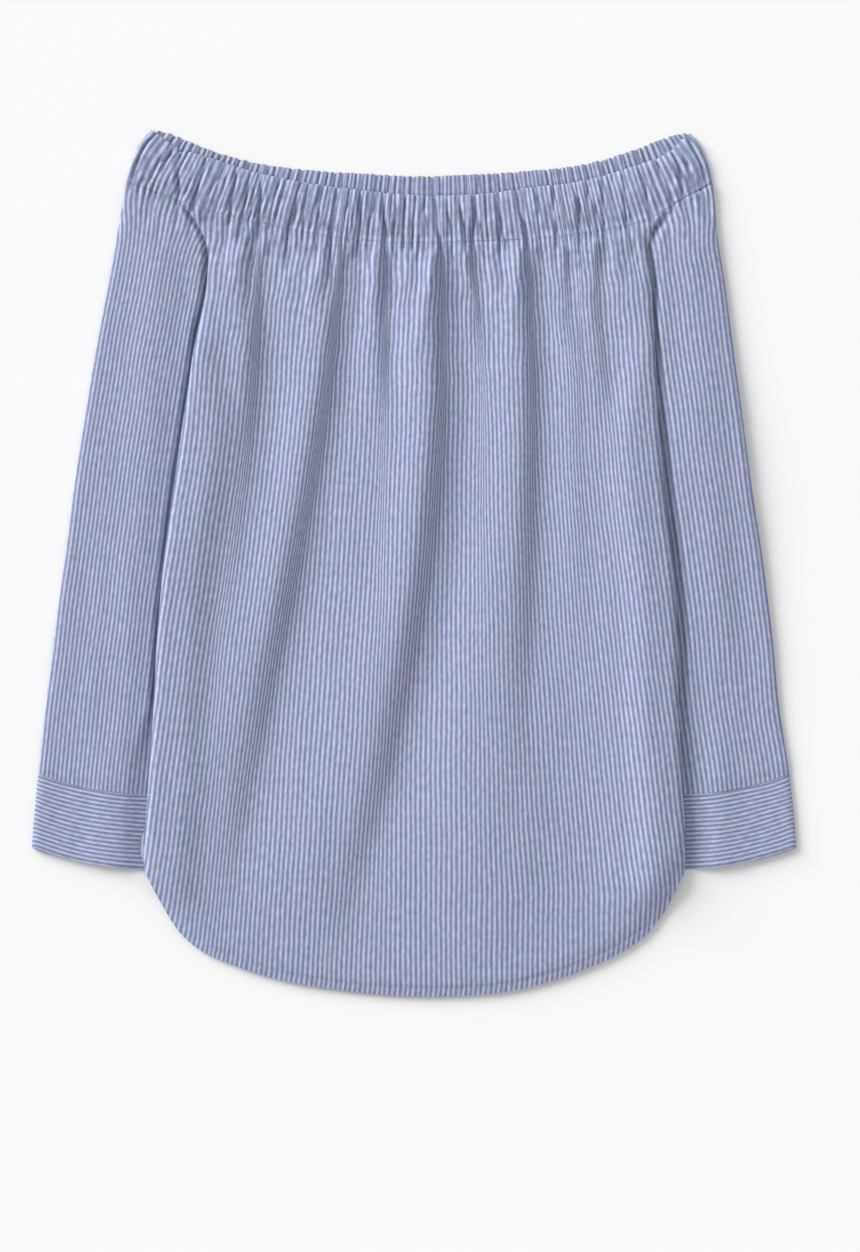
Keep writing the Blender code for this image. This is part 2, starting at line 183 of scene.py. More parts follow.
HEM = table(
    "at y",
    (0.00, -250.0),
    (0.03, -276.5),
    (0.06, -298.5),
    (0.10, -315.0),
    (0.16, -327.5),
    (0.23, -338.0),
    (0.35, -348.0),
    (0.53, -353.7),
    (0.70, -347.5),
    (0.82, -331.0),
    (0.90, -313.5),
    (0.94, -299.5),
    (0.97, -280.0),
    (1.00, -252.0),
)

CASING = table(
    "at back_top front_top front_low",
    (0.00, 353.7, 353.7, 309.7),
    (0.05, 347.0, 337.2, 301.0),
    (0.10, 337.5, 330.2, 292.3),
    (0.20, 324.8, 316.4, 279.0),
    (0.30, 319.0, 307.4, 268.7),
    (0.40, 316.2, 301.9, 261.6),
    (0.50, 314.1, 298.0, 260.0),
    (0.60, 315.8, 299.0, 260.7),
    (0.70, 318.6, 304.2, 262.8),
    (0.80, 323.9, 310.2, 269.0),
    (0.90, 336.8, 323.0, 281.0),
    (0.95, 345.5, 331.6, 295.5),
    (1.00, 351.3, 351.3, 308.1),
)

# Main creases of the casing, by their share of the neck from its left corner (0) to its right (1):
# where they meet the casing's top and its stitched line, how deep they are in the casing and in
# the cloth below it, how far down they reach, how much they drift in 100 mm, and the stripes
# that they hide
CREASES = table(
    " ".join(Crease._fields),
    (0.012, 0.010, 1.2, 0.5, 16, 0, 0.4),
    (0.055, 0.022, 1.3, 0.6, 22, -2, 0.4),
    (0.045, 0.045, 1.0, 0.9, 34, -3, 0.4),
    (0.060, 0.087, 2.0, 0.8, 24, 0, 0.7),
    (0.104, 0.114, 2.2, 1.6, 30, 5, 0.8),
    (0.140, 0.135, 0.8, 1.0, 40, 0, 0.3),
    (0.160, 0.178, 1.2, 2.4, 50, -6, 0.5),
    (0.189, 0.198, 1.2, 1.4, 44, -2, 0.6),
    (0.205, 0.226, 1.8, 3.4, 90, -3, 0.9),
    (0.240, 0.245, 0.9, 1.2, 50, -2, 0.4),
    (0.279, 0.277, 2.4, 2.4, 40, -2, 0.9),
    (0.292, 0.302, 1.0, 0.9, 26, 0, 0.3),
    (0.319, 0.325, 1.1, 0.9, 30, 0, 0.4),
    (0.345, 0.349, 1.6, 2.8, 60, 0, 0.6),
    (0.370, 0.378, 0.7, 1.4, 60, -2, 0.4),
    (0.388, 0.396, 2.4, 3.0, 70, -3, 0.9),
    (0.415, 0.413, 0.8, 0.7, 24, 0, 0.3),
    (0.432, 0.441, 2.0, 2.8, 100, 1, 0.8),
    (0.453, 0.457, 1.3, 0.5, 18, 0, 0.4),
    (0.470, 0.474, 1.5, 0.9, 12, 20, 0.4),
    (0.492, 0.488, 1.3, 0.8, 12, -20, 0.4),
    (0.508, 0.510, 0.8, 0.9, 36, 0, 0.3),
    (0.524, 0.536, 1.6, 4.4, 130, 1, 1.1),
    (0.548, 0.556, 0.8, 0.8, 26, 0, 0.3),
    (0.567, 0.579, 1.6, 0.8, 24, 2, 0.5),
    (0.598, 0.590, 1.8, 3.2, 40, 12, 0.6),
    (0.620, 0.618, 0.9, 0.8, 24, 0, 0.3),
    (0.640, 0.637, 1.9, 2.0, 34, 2, 0.5),
    (0.675, 0.683, 2.0, 3.2, 120, 1, 1.0),
    (0.710, 0.706, 0.8, 0.9, 34, 0, 0.3),
    (0.743, 0.734, 1.3, 1.2, 42, -4, 0.5),
    (0.786, 0.773, 1.6, 1.0, 36, -2, 0.6),
    (0.806, 0.793, 1.2, 0.5, 20, 0, 0.3),
    (0.834, 0.814, 1.0, 1.8, 44, -2, 0.5),
    (0.872, 0.853, 0.8, 1.6, 40, 10, 1.8),
    (0.900, 0.895, 1.2, 1.0, 26, 0, 0.4),
    (0.932, 0.931, 1.4, 1.3, 18, -4, 0.6),
    (0.962, 0.948, 1.6, 1.0, 18, 4, 0.6),
    (0.992, 0.985, 1.4, 0.8, 30, 4, 0.5),
)
SMALL_CREASE_SEED = 7
SMALL_CREASE_SPACING = 0.0095

# How deeply the stitched line below the casing is pulled in along the neck
LINE_PINCH = table(
    "at depth",
    (0.000, 0.5),
    (0.025, 0.1),
    (0.090, 0.1),
    (0.130, 0.5),
    (0.150, 0.1),
    (0.380, 0.1),
    (0.395, 1.3),
    (0.411, 1.2),
    (0.424, 0.1),
    (0.565, 0.1),
    (0.585, 1.5),
    (0.630, 0.9),
    (0.655, 1.4),
    (0.672, 1.1),
    (0.690, 0.1),
    (0.910, 0.2),
    (0.938, 1.9),
    (0.955, 0.8),
    (0.975, 2.2),
    (1.000, 2.2),
)

# Folds of the front panel, each a ridge with a trough on its right. They hide stripes at the top and
# let them out to one side. Full is how far down a fold keeps its height, and lean is how far its
# crease leans across the casing
FOLDS = (
    Fold("left_side", 262, -60, (-127, -130, -141, -160), 4.4, 12, 5.0, -1, 0.15, 8),
    Fold("left_long", 262, -330, (-60, -83, -126, -166), 5.2, 14, 8.5, -1, 0.45, 3),
    Fold("left_short", 262, 90, (-23, -23, -24, -26), 2.9, 7, 4.5, -1, 0.4, 0),
    Fold("middle_long", 262, -345, (22, 18, -18, -80), 6.8, 15, 5.5, -1, 0.5, 5),
    Fold("middle_short", 262, 150, (44, 49, 53, 56), 2.7, 7, 5.0, 1, 0.4, 0),
    Fold("right_long", 262, -210, (92, 96, 90, 84), 5.2, 13, 5.0, 1, 0.4, 4),
    Fold("right_short", 255, 150, (124, 124, 126, 128), 2.0, 8, 2.5, 1, 0.4, 0),
    Fold("right_middle", 200, -120, (135, 134, 137, 142), 0.9, 12, 2.5, 1, 0.4, 0),
    Fold("right_side", 262, 60, (148, 150, 158, 165), 2.0, 9, 2.5, 1, 0.4, 0),
)

# Broad soft swells and hollows of the panel
SWELLS = (
    Swell(66, -180, 50, 140, 3.6),
    Swell(-96, -250, 44, 70, 1.6),
    Swell(128, 40, 40, 90, 1.0),
    Swell(-150, 60, 26, 70, 1.2),
    Swell(10, 60, 30, 80, 1.0),
    Swell(-167, 268, 13, 20, -5.0),
    Swell(-68, 228, 12, 26, -1.6),
    Swell(188, 270, 9, 17, -3.2),
    Swell(-40, 205, 16, 30, -1.2),
    Swell(30, 215, 7, 45, -2.0),
)

# How far the panel's rounded sides stand up above its middle
RIM = table(
    "at left right",
    (-310, 0.5, 0.8),
    (-262, 2.2, 5.4),
    (-200, 2.8, 6.2),
    (-100, 2.4, 5.6),
    (0, 3.0, 5.2),
    (100, 3.2, 4.2),
    (180, 3.0, 2.8),
    (230, 2.2, 2.2),
    (290, 0.6, 0.8),
)
RIM_CREST = {"left": 10.0, "right": 30.0}
RIM_REACH = {"left": 38.0, "right": 34.0}

# Rounded ridges and troughs along the sleeves
SLEEVE_RIDGES = {
    "left": (
        Ridge(300, -200, (-202, -215, -231, -250), 2.7, 21),
        Ridge(120, -210, (-246, -254, -262, -270), 0.5, 8),
        Ridge(-40, -200, (-226, -230, -236, -240), 0.6, 7),
    ),
    "right": (
        Ridge(300, -180, (226, 234, 244, 258), 1.9, 17),
        Ridge(150, -190, (254, 262, 268, 276), -0.5, 8),
        Ridge(-60, -205, (236, 244, 250, 254), 0.7, 8),
    ),
}

SIDES = ("left", "right")
INWARD = {"left": 1.0, "right": -1.0}


def blend(low, high, share):
    return low + (high - low) * share


def fade(start, end, value):
    """0 at start and 1 at end, with a soft change between them."""
    share = np.clip((value - start) / (end - start), 0.0, 1.0)
    return share * share * (3.0 - 2.0 * share)


def hump(away, width):
    """1 in the middle of a soft hump and near 0 two widths away."""
    return np.exp(-((away / width) ** 2))


def curve(data, column, at):
    """A column of a table, read on a smooth curve through its rows."""
    keys, values = data["at"], data[column]
    at = np.clip(at, keys[0], keys[-1])
    row = np.clip(np.searchsorted(keys, at) - 1, 0, len(keys) - 2)
    span = keys[row + 1] - keys[row]
    share = (at - keys[row]) / span
    slopes = np.gradient(values, keys)
    hump = share * (1.0 - share)
    straight = blend(values[row], values[row + 1], share)
    lean = (values[row + 1] - values[row]) / span
    start = (slopes[row] - lean) * (1.0 - share)
    finish = (slopes[row + 1] - lean) * share
    return straight + hump * span * (start - finish)


def station(path, share):
    """The cubic curve through the stations of a path."""
    keys = np.linspace(0.0, 1.0, len(path))
    total = 0.0
    for here, place in enumerate(path):
        weight = 1.0
        for other, key in enumerate(keys):
            if other != here:
                weight = weight * (share - key) / (keys[here] - key)
        total = total + place * weight
    return total


def fold_profile(away):
    """Across a fold: 1 on its ridge and -1 in its trough, steep between them, level far off."""
    away = np.where(away > 0.0, 1.45 * away, away)
    beyond = np.maximum(np.abs(away) - 1.0, 0.0) / np.where(away < 0.0, 2.0, 2.6)
    near = np.clip(away, -1.0, 1.0)
    return -near * np.exp(0.5 - 0.5 * near * near - beyond * beyond)


def fold_height(x, y):
    """Heights of the front panel's folds, each fading in and out along its length, and its swells."""
    total = np.zeros(np.broadcast(x, y).shape)
    for fold in FOLDS:
        share = np.clip((fold.top - y) / (fold.top - fold.end), 0.0, 1.0)
        width = fold.half_width * blend(0.55, 1.35, share)
        strength = fade(0.0, 0.05, share) * fade(1.0, fold.full, share)
        total += strength * fold.height * fold_profile((x - station(fold.path, share)) / width)
    for swell in SWELLS:
        across, along = (x - swell.x) / swell.half_width, (y - swell.y) / swell.half_length
        total += swell.height * np.exp(-(across ** 2 + along ** 2))
    return total


def ripple(x, y, wave_x, wave_y, turn):
    """A smooth uneven surface between -1 and 1, its waves about as long as given."""
    first = np.sin(x / wave_x * 2.0 + 1.7 * np.sin(y / wave_y + turn) + turn)
    second = np.sin(y / wave_y * 2.3 + 1.3 * np.sin(x / wave_x * 1.4 - turn) + 2.0 * turn)
    return 0.5 * (first + second)


def blotches(x, y, wide, long, seed):
    """A soft random surface between -1 and 1, its patches about as wide and long as given."""
    values = np.random.default_rng(seed).uniform(-1.0, 1.0, (256, 256))
    across, along = x / wide + 600.0, y / long + 600.0
    column, row = np.floor(across).astype(int), np.floor(along).astype(int)
    u, v = fade(0.0, 1.0, across - column), fade(0.0, 1.0, along - row)

    def corner(down, right):
        return values[(row + down) % 256, (column + right) % 256]

    return blend(blend(corner(0, 0), corner(0, 1), u), blend(corner(1, 0), corner(1, 1), u), v)


def crumple(x, y):
    """The small uneven bumps of gathered cloth."""
    return 1.0 * blotches(x, y, 6.5, 13.0, 3) + 0.55 * blotches(x, y, 3.0, 6.0, 4)


def outer(side, y):
    return curve(OUTLINE, side + "_outer", y)


def edge(side, y):
    return curve(OUTLINE, side + "_edge", y)


def tucked(side, y):
    """The sleeve's inner edge, hidden under the body."""
    tuck = blend(ARMHOLE_LAP, TUCK, fade(UNDERARM, UNDERARM - TUCK_LENGTH, y))
    return edge(side, y) + INWARD[side] * tuck


def edge_distance(x, y):
    return np.minimum(x - edge("left", y), edge("right", y) - x)


def below_underarm(y):
    return fade(UNDERARM + LIFT_LENGTH, UNDERARM, y)


def casing_share(x):
    """How far along the casing's lower edge a point lies."""
    left, right = CASING_LOW_CORNERS
    return (x - left) / (right - left)


def front_line(x):
    return curve(CASING, "front_low", casing_share(x))


def back_line(x):
    share = casing_share(x)
    rise = curve(CASING, "back_top", share) - curve(CASING, "front_top", share)
    return curve(CASING, "front_low", share) + rise


def hem_line(x, y):
    left, right = edge("left", y), edge("right", y)
    return curve(HEM, "y", (x - left) / (right - left))


def back_bottom(x, y):
    """Underside of the back panel: on the floor, and over the sleeves at the sides."""
    rise = 0.0
    for side in SIDES:
        inside = INWARD[side] * (x - tucked(side, y))
        rise = np.maximum(rise, 1.0 - fade(0.0, RAMP, inside))
    past_cuff = CUFF_END - CUFF_CLEARANCE
    sleeve_under = below_underarm(y) * fade(past_cuff - LIFT_LENGTH, past_cuff, y)
    return rise * sleeve_under * (PRESSED_HEIGHT + LAYER_GAP)


def all_creases():
    """The main creases and small ones of uneven depth between them, from left to right."""
    rng = np.random.default_rng(SMALL_CREASE_SEED)
    found = [Crease(*row) for row in zip(*CREASES.values())]
    edges = [0.0, *np.sort(CREASES["low"]), 1.0]
    for low, high in zip(edges, edges[1:]):
        count = int(round((high - low) / SMALL_CREASE_SPACING)) - 1
        for number in range(count):
            share = blend(low, high, (number + 1 + rng.uniform(-0.22, 0.22)) / (count + 1))
            depth = rng.uniform(0.1, 0.75)
            found.append(Crease(
                top=share + rng.uniform(-0.010, 0.010),
                low=share,
                casing=depth,
                panel=depth * rng.uniform(0.9, 1.9),
                reach=rng.uniform(16.0, 60.0),
                drift=rng.uniform(-6.0, 6.0),
                stripes=0.22 * depth))
    return sorted(found, key=lambda crease: crease.low)


GATHERS = all_creases()
NECK_LENGTH = CASING_LOW_CORNERS[1] - CASING_LOW_CORNERS[0]


def groove(away, width):
    """A narrow groove 1 deep, steeper on its left, in a wider hollow between rounded lips."""
    reach = np.where(away < 0.0, 0.75 * width, 1.3 * width)
    narrow = 0.66 * np.exp(-np.abs(away / reach) ** 1.5)
    wide = 0.34 * hump(away, 3.0 * width)
    lips = 0.2 * hump(np.abs(away) - 3.8 * width, 1.6 * width)
    return narrow + wide - lips


def casing_gathers(share, down):
    """Height of the casing's gathers: rounded puffs between creases, which wander and break off."""
    total = np.zeros(np.broadcast(share, down).shape)
    between = 4.0 * down * (1.0 - down)
    for number, crease in enumerate(GATHERS):
        wander = 1.0 * np.sin(4.0 * down + number) + 0.4 * np.sin(9.0 * down + 2.3 * number)
        away = (share - blend(crease.top, crease.low, down)) * NECK_LENGTH + wander * between
        at_line = 0.5 * (crease.casing + crease.panel)
        depth = blend(crease.casing, at_line, fade(0.55, 1.0, down))
        stroke = 0.8 + 0.42 * np.sin(2.2 * number + (3.2 + number % 4) * down)
        depth = depth * blend(np.maximum(stroke, 0.15), 1.0, fade(0.75, 1.0, down))
        depth = depth * blend(0.7, 1.0, fade(0.0, 0.15, down))
        total -= DEEPER * depth * groove(away, 0.6 + 0.2 * crease.casing)
    return total


def panel_gathers(share, drop):
    """Height of the gathers below the casing, which widen and die out downwards."""
    total = np.zeros(np.broadcast(share, drop).shape)
    for crease in GATHERS:
        away = (share - crease.low) * NECK_LENGTH - crease.drift * drop / 100.0
        at_line = 0.5 * (crease.casing + crease.panel)
        depth = blend(at_line, crease.panel, fade(0.0, 10.0, drop)) * fade(crease.reach * 1.3, 1.0, drop)
        away += 0.9 * np.sin(drop / 13.0 + 1.9 * crease.low * 100.0) * fade(0.0, 25.0, drop)
        total -= DEEPER * depth * groove(away, 0.6 + 0.2 * crease.casing + 0.045 * drop)
    return total


def hanging_share(x, drop):
    """The share of the neck that the cloth at a point hangs from. The panel fans out below it."""
    return casing_share(MIDDLE + (x - MIDDLE) * np.exp(-FAN * np.maximum(drop, 0.0)))


def stripe_number(x, y, drop, share=None, down=1.0):
    """Stripes counted from the middle, with those that folds and creases hide and let out."""
    share = hanging_share(x, drop) if share is None else share
    period = blend(UPPER_PERIOD, MIDDLE_PERIOD, fade(0.0, 220.0, drop))
    period = blend(period, HEM_PERIOD, fade(330.0, 640.0, drop))
    total = (x - MIDDLE) / period
    for fold in FOLDS:
        along = np.clip((fold.top - y) / (fold.top - fold.end), 0.0, 1.0)
        out = np.clip((fold.top - y) / (fold.top - STRIPES_OUT[fold.side]), 0.0, 1.0)
        away = x - station(fold.path, along) + fold.lean * (1.0 - down)
        sharp = 0.5 + 0.5 * np.tanh(away / (0.7 + 9.0 * out))
        soft = 0.5 + 0.5 * np.tanh(away / (16.0 + 0.6 * fold.half_width))
        tight = blend(0.85 if fold.height > 2.0 else 0.4, 0.25, out)
        before = 1.0 if fold.side < 0 else 0.0
        total += fold.stripes * (1.0 - out) * (blend(soft, sharp, tight) - before)
    for crease in GATHERS:
        away = (share - blend(crease.top, crease.low, down)) * NECK_LENGTH
        away = away - crease.drift * drop / 100.0
        passed = 0.5 + 0.5 * np.tanh(away / (0.6 + 0.05 * drop))
        kept = 0.2 * np.exp(-drop / (crease.reach + 60.0)) + 0.03 * (1.0 - down)
        before = 1.0 if crease.low < casing_share(MIDDLE) else 0.0
        total += crease.stripes * kept * (passed - before)
    near = fade(230.0, 0.0, drop)
    total += (0.05 + 0.13 * near) * ripple(x, y, 8.0, 15.0, 0.9)
    total += 0.06 * near * ripple(x, y, 4.0, 9.0, 2.1)
    return total + (0.12 + 0.15 * near) * ripple(x, y, 26.0, 44.0, 2.6)


def soft_floor(height, lowest):
    """The height, levelling off softly where it would go below the lowest."""
    return np.log1p(np.exp(2.5 * (height - lowest))) / 2.5 + lowest


def line_height(share):
    """Height of the stitched line where the casing ends."""
    return soft_floor(LINE_HEIGHT + casing_gathers(share, 1.0), LOWEST)


def pinched(height, share, away):
    """The height where the stitched line pulls the cloth in, though not through the layer below."""
    depth = np.interp(share, LINE_PINCH["at"], LINE_PINCH["depth"])
    depth = depth * (0.8 + 0.3 * np.sin(share * 700.0)) * np.exp(-np.abs(away / 1.5) ** 1.5)
    return np.maximum(height - depth, np.minimum(height, LOWEST - 0.1))


def front_height(x, y, drop):
    """Upper face of the front panel."""
    share = hanging_share(x, drop)
    inside = np.maximum(edge_distance(x, y), 0.0)
    turn = 1.0 - np.minimum(inside / EDGE_RADIUS, 1.0)
    rolled = np.sqrt(1.0 - turn * turn)
    hem = hem_line(x, y)
    lap = fade(ARMHOLE_LAP + RAMP, ARMHOLE_LAP, inside) * (1.0 - below_underarm(y))
    lift = MEAN_LIFT + fold_height(x, y) + panel_gathers(share, drop)
    lift += 0.35 * ripple(x, y, 34.0, 90.0, 0.4) + 0.2 * ripple(x, y, 11.0, 37.0, 1.9)
    lift += fade(110.0, 0.0, drop) * crumple(x, y) + 0.5 * blotches(x, y, 22.0, 60.0, 5)
    lift = soft_floor(lift, LEAST_LIFT)
    rim = 0.0
    for side in SIDES:
        away = INWARD[side] * (x - edge(side, y)) - RIM_CREST[side]
        rim = rim + curve(RIM, side, y) * hump(away, RIM_REACH[side])
    lift = blend(HEM_LIFT + 0.4 * (lift - MEAN_LIFT), lift, fade(hem, hem + 60.0, y))
    lift = (lift + rim * fade(hem, hem + 40.0, y)) * rolled
    base = back_bottom(x, y) + WALL + blend(0.35, LAYER_GAP, rolled) + lap * (ARMHOLE_HEIGHT - WALL)
    height = blend(line_height(share), base + lift + SHELL, fade(0.0, 12.0, drop))
    return pinched(height, share, drop)


def hem_band(x, y):
    """1 on the turned hem and 0 above it."""
    return fade(HEM_WIDTH + 0.5, HEM_WIDTH - 0.5, hem_distance(x, y))


def front_surface(x, y, drop):
    """Upper face of the front panel with its turned hem."""
    near = hem_distance(x, y)
    pucker = 0.13 * np.sin(x * 0.75 + 2.0 * np.sin(x * 0.05))
    pucker = pucker * fade(HEM_WIDTH + 6.0, HEM_WIDTH - 2.0, near)
    free = np.clip(edge_distance(x, y) / 12.0, 0.0, 1.0)
    drawn_in = free * HEM_DRAWN_IN * fade(HEM_WIDTH + 3.0, HEM_WIDTH - 1.0, near)
    rolled_edge = (0.5 + 0.7 * free) * fade(5.5, -0.6, near)
    return front_height(x, y, drop) + pucker - drawn_in - rolled_edge


def hem_distance(x, y):
    """How far a point lies from the hem, square to it."""
    step = 0.5
    slope = (hem_line(x + step, y) - hem_line(x - step, y)) / (2.0 * step)
    return (y - hem_line(x, y)) / np.sqrt(1.0 + slope * slope)


def sleeve_top(side, x, y, height, drop):
    """Upper face of a sleeve or cuff: rolled at its outer edge and pressed flat by the body."""
    outside = -INWARD[side] * (x - edge(side, y))
    from_outer = np.maximum(INWARD[side] * (x - outer(side, y)), 0.0)
    under_armhole = fade(190.0, 165.0, y)
    low_end = fade(-110.0, -170.0, y)
    hollow = {"left": fade(-40.0, -90.0, y), "right": fade(165.0, 75.0, y)}[side]
    gutter = 2.0 * fade(-6.0, 0.0, outside) * hollow
    pressed = blend(SLEEVE_LOWEST, PRESSED_HEIGHT - 0.15, under_armhole) - 1.8 * low_end - gutter
    pressed = np.maximum(pressed, SLEEVE_LOWEST)
    armhole = hump(y - ARMHOLE_MIDDLE, ARMHOLE_REACH)
    if side == "left":
        armhole = np.where(y > ARMHOLE_MIDDLE, 1.0, armhole)
    corner = fade(245.0, 270.0, y)
    rise = blend(SLEEVE_RISE[side], 4.0, armhole) + 14.0 * low_end
    start = 1.1 * armhole + GUTTER_WIDTH[side] * hollow
    level = height + 2.0 * low_end * hump(outside - 30.0, 16.0)
    for ridge in SLEEVE_RIDGES[side]:
        share = np.clip((ridge.top - y) / (ridge.top - ridge.end), 0.0, 1.0)
        strength = ridge.height * fade(0.0, 0.12, share) * fade(1.0, 0.6, share)
        level += strength * hump(x - station(ridge.path, share), ridge.half_width)
    level += 0.3 * ripple(x, y, 17.0, 60.0, 2.2) + 0.15 * ripple(x, y, 7.0, 23.0, 0.3)
    level += 0.9 * armhole * (1.0 - corner) * hump(outside - 8.0, 6.0)
    share = casing_share(x - SLEEVE_LEAN[side] * np.maximum(drop, 0.0))
    level += panel_gathers(share, np.maximum(drop, 0.0))
    level = blend(pressed, level, fade(0.0, 1.0, (outside - start) / rise))
    turn = 1.0 - np.minimum(from_outer / SLEEVE_ROLL, 1.0)
    return blend(height / 2, level, np.sqrt(1.0 - turn * turn))


def uneven_columns(count, creases, low, high):
    """Places from 0 to 1 that crowd together at the creases between low and high."""
    fine = np.linspace(0.0, 1.0, 6000)
    density = np.ones_like(fine)
    for at in creases:
        place = (at - low) / (high - low)
        density += 5.0 * hump((fine - place) * (high - low), 0.0022)
    reach = np.cumsum(density)
    reach = (reach - reach[0]) / (reach[-1] - reach[0])
    return np.interp(np.linspace(0.0, 1.0, count), reach, fine)


def settle(start, line, place):
    """The y where columns meet a line. The places of columns and line depend on each other."""
    x = start
    for _round in range(10):
        y = line(x)
        x = place(y)
    return y


def add_object(name, data):
    thing = bpy.data.objects.new(name, data)
    bpy.context.scene.collection.objects.link(thing)
    return thing


def add_piece(name, mesh, material):
    """Put a smooth mesh in the scene as a piece of the garment."""
    mesh.shade_smooth()
    mesh.materials.append(material)
    piece = add_object(name, mesh)
    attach(piece, BODY)
    return piece


def shell(name, outside, inside, uv, material, ids=None):
    """A thin closed shell on two grids of x, y and z. Equal numbers in ids make one point of two."""
    count = outside[0].size
    ids = np.arange(count).reshape(outside[0].shape) if ids is None else ids
    at = np.arange(ids.size).reshape(ids.shape)
    quads = np.stack([at[:-1, :-1], at[1:, :-1], at[1:, 1:], at[:-1, 1:]], -1).reshape(-1, 4)
    outer_faces = ids.reshape(-1)[quads]
    kept = [len(set(face)) == 4 for face in outer_faces]
    quads, outer_faces = quads[kept], outer_faces[kept]
    edges = {}
    for face, quad in zip(outer_faces, quads):
        for here in range(4):
            edges[(face[here - 1], face[here])] = (quad[here - 1], quad[here])
    rims, rim_corners = [], []
    for (a, b), (corner_a, corner_b) in edges.items():
        if (b, a) not in edges:
            rims.append((b, a, a + count, b + count))
            rim_corners.append((corner_b, corner_a, corner_a, corner_b))
    faces = np.concatenate([outer_faces, outer_faces[:, ::-1] + count, np.array(rims)])
    corners = np.concatenate([quads, quads[:, ::-1], np.array(rim_corners)])
    points = np.concatenate([np.stack(face, -1).reshape(-1, 3) for face in (outside, inside)]) * MILLIMETRE
    mesh = bpy.data.meshes.new(name)
    mesh.from_pydata(points.tolist(), [], faces.tolist())
    layer = mesh.uv_layers.new(name="cloth")
    layer.data.foreach_set("uv", uv.reshape(-1, 2)[corners.reshape(-1)].reshape(-1))
    piece = add_piece(name, mesh, material)
    mesh.set_sharp_from_angle(angle=math.radians(55))
    return piece


def stitches(name, line, material):
    """A row of short rounded stitches along a line of points on the cloth."""
    reach = np.concatenate([[0.0], np.cumsum(np.linalg.norm(np.diff(line, axis=0), axis=1))])
    rings = ((0.0, 0.35), (0.15, 0.85), (0.5, 1.0), (0.85, 0.85), (1.0, 0.35))
    points, faces = [], []
    for number in range(int(reach[-1] / STITCH_PITCH)):
        ends = []
        for at in (number * STITCH_PITCH, number * STITCH_PITCH + STITCH_LENGTH):
            ends.append(np.array([np.interp(at, reach, line[:, axis]) for axis in range(3)]))
        along = (ends[1] - ends[0]) / np.linalg.norm(ends[1] - ends[0])
        across = np.cross((0.0, 0.0, 1.0), along)
        across /= np.linalg.norm(across)
        up = np.cross(along, across)
        first = len(points)
        for at, girth in rings:
            centre = blend(ends[0], ends[1], at) + up * 0.14 * math.sin(math.pi * at)
            for turn in range(6):
                angle = math.pi * turn / 3
                offset = across * math.cos(angle) + up * math.sin(angle)
                points.append(centre + THREAD_RADIUS * girth * offset)
        for ring in range(len(rings) - 1):
            for turn in range(6):
                a, b = first + 6 * ring + turn, first + 6 * ring + (turn + 1) % 6
                faces.append((a, b, b + 6, a + 6))
        last = first + 6 * (len(rings) - 1)
        faces.append(tuple(range(first + 5, first - 1, -1)))
        faces.append(tuple(range(last, last + 6)))
    mesh = bpy.data.meshes.new(name)
    mesh.from_pydata((np.array(points) * MILLIMETRE).tolist(), [], faces)
    return add_piece(name, mesh, material)


def sew_hem(thread):
    """The row of stitches that holds the front's turned hem."""
    share = np.linspace(0.03, 0.97, 400)
    y = curve(HEM, "y", share)
    for _round in range(15):
        x = blend(edge("left", y), edge("right", y), share)
        y = y + 0.8 * (HEM_STITCHES - hem_distance(x, y))
    height = front_surface(x, y, front_line(x) - y)
    return stitches("hem_stitches", np.stack([x, y, height - 0.05], -1), thread)


def sew_casing(thread):
    """The row of stitches where the casing is sewn to the garment."""
    share = np.linspace(0.012, 0.988, 900)
    x = blend(*CASING_LOW_CORNERS, share)
    y = curve(CASING, "front_low", share) + 0.9
    height = pinched(line_height(share), share, 0.9)
    smooth = np.convolve(np.pad(height, 3, "edge"), np.ones(7) / 7.0, "valid")
    return stitches("casing_stitches", np.stack([x, y, np.maximum(height, smooth) - 0.11], -1), thread)


def sew_cuff(side, thread):
    """The row of stitches along the cuff's seam, on its upper face."""
    share = np.linspace(0.06, 0.97, 160)
    start = edge(side, CUFF_SEAM)
    x = blend(start, outer(side, CUFF_SEAM), share)
    y = cuff_line(side, x, CUFF_SEAM) - 1.6
    height = sleeve_top(side, x, y, CUFF_TOP, front_line(x) - y)
    return stitches("cuff_stitches_" + side, np.stack([x, y, height + 0.05], -1), thread)


def build_front(material, thread):
    """The front panel, its columns crowded at the creases and its rows near the casing and hem."""
    low = casing_share(edge("left", 291.0))
    high = casing_share(edge("right", 285.0))
    share = uneven_columns(FRONT_COLUMNS, CREASES["low"], low, high)[None, :]
    drops = np.concatenate([np.linspace(0.0, 22.0, 20), np.linspace(24.0, 110.0, 38)])[:, None]

    def place(y):
        return blend(edge("left", y), edge("right", y), share)

    top = settle(place(UNDERARM), front_line, place)
    hem = curve(HEM, "y", share)
    past = top - drops[-1] - 3.0
    steps = np.linspace(0.0, 1.0, 46)[:, None]
    y = np.concatenate([top - drops, blend(past, hem + 11.0, steps), hem + np.array(HEM_ROWS)[:, None]])
    x = place(y)
    drop = top - y
    height = front_surface(x, y, drop)
    bottom = height - SHELL - HEM_THICKER * hem_band(x, y)
    lean = HEM_STRIPE_LEAN * np.maximum(HEM_WIDTH - hem_distance(x, y), 0.0) / HEM_PERIOD
    uv = np.stack([stripe_number(x, y, drop) + lean, y / 10.0], -1)
    piece = shell("front_cloth", (x, y, height), (x, y, bottom), uv, material)
    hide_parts("front_panel")
    sew_hem(thread)


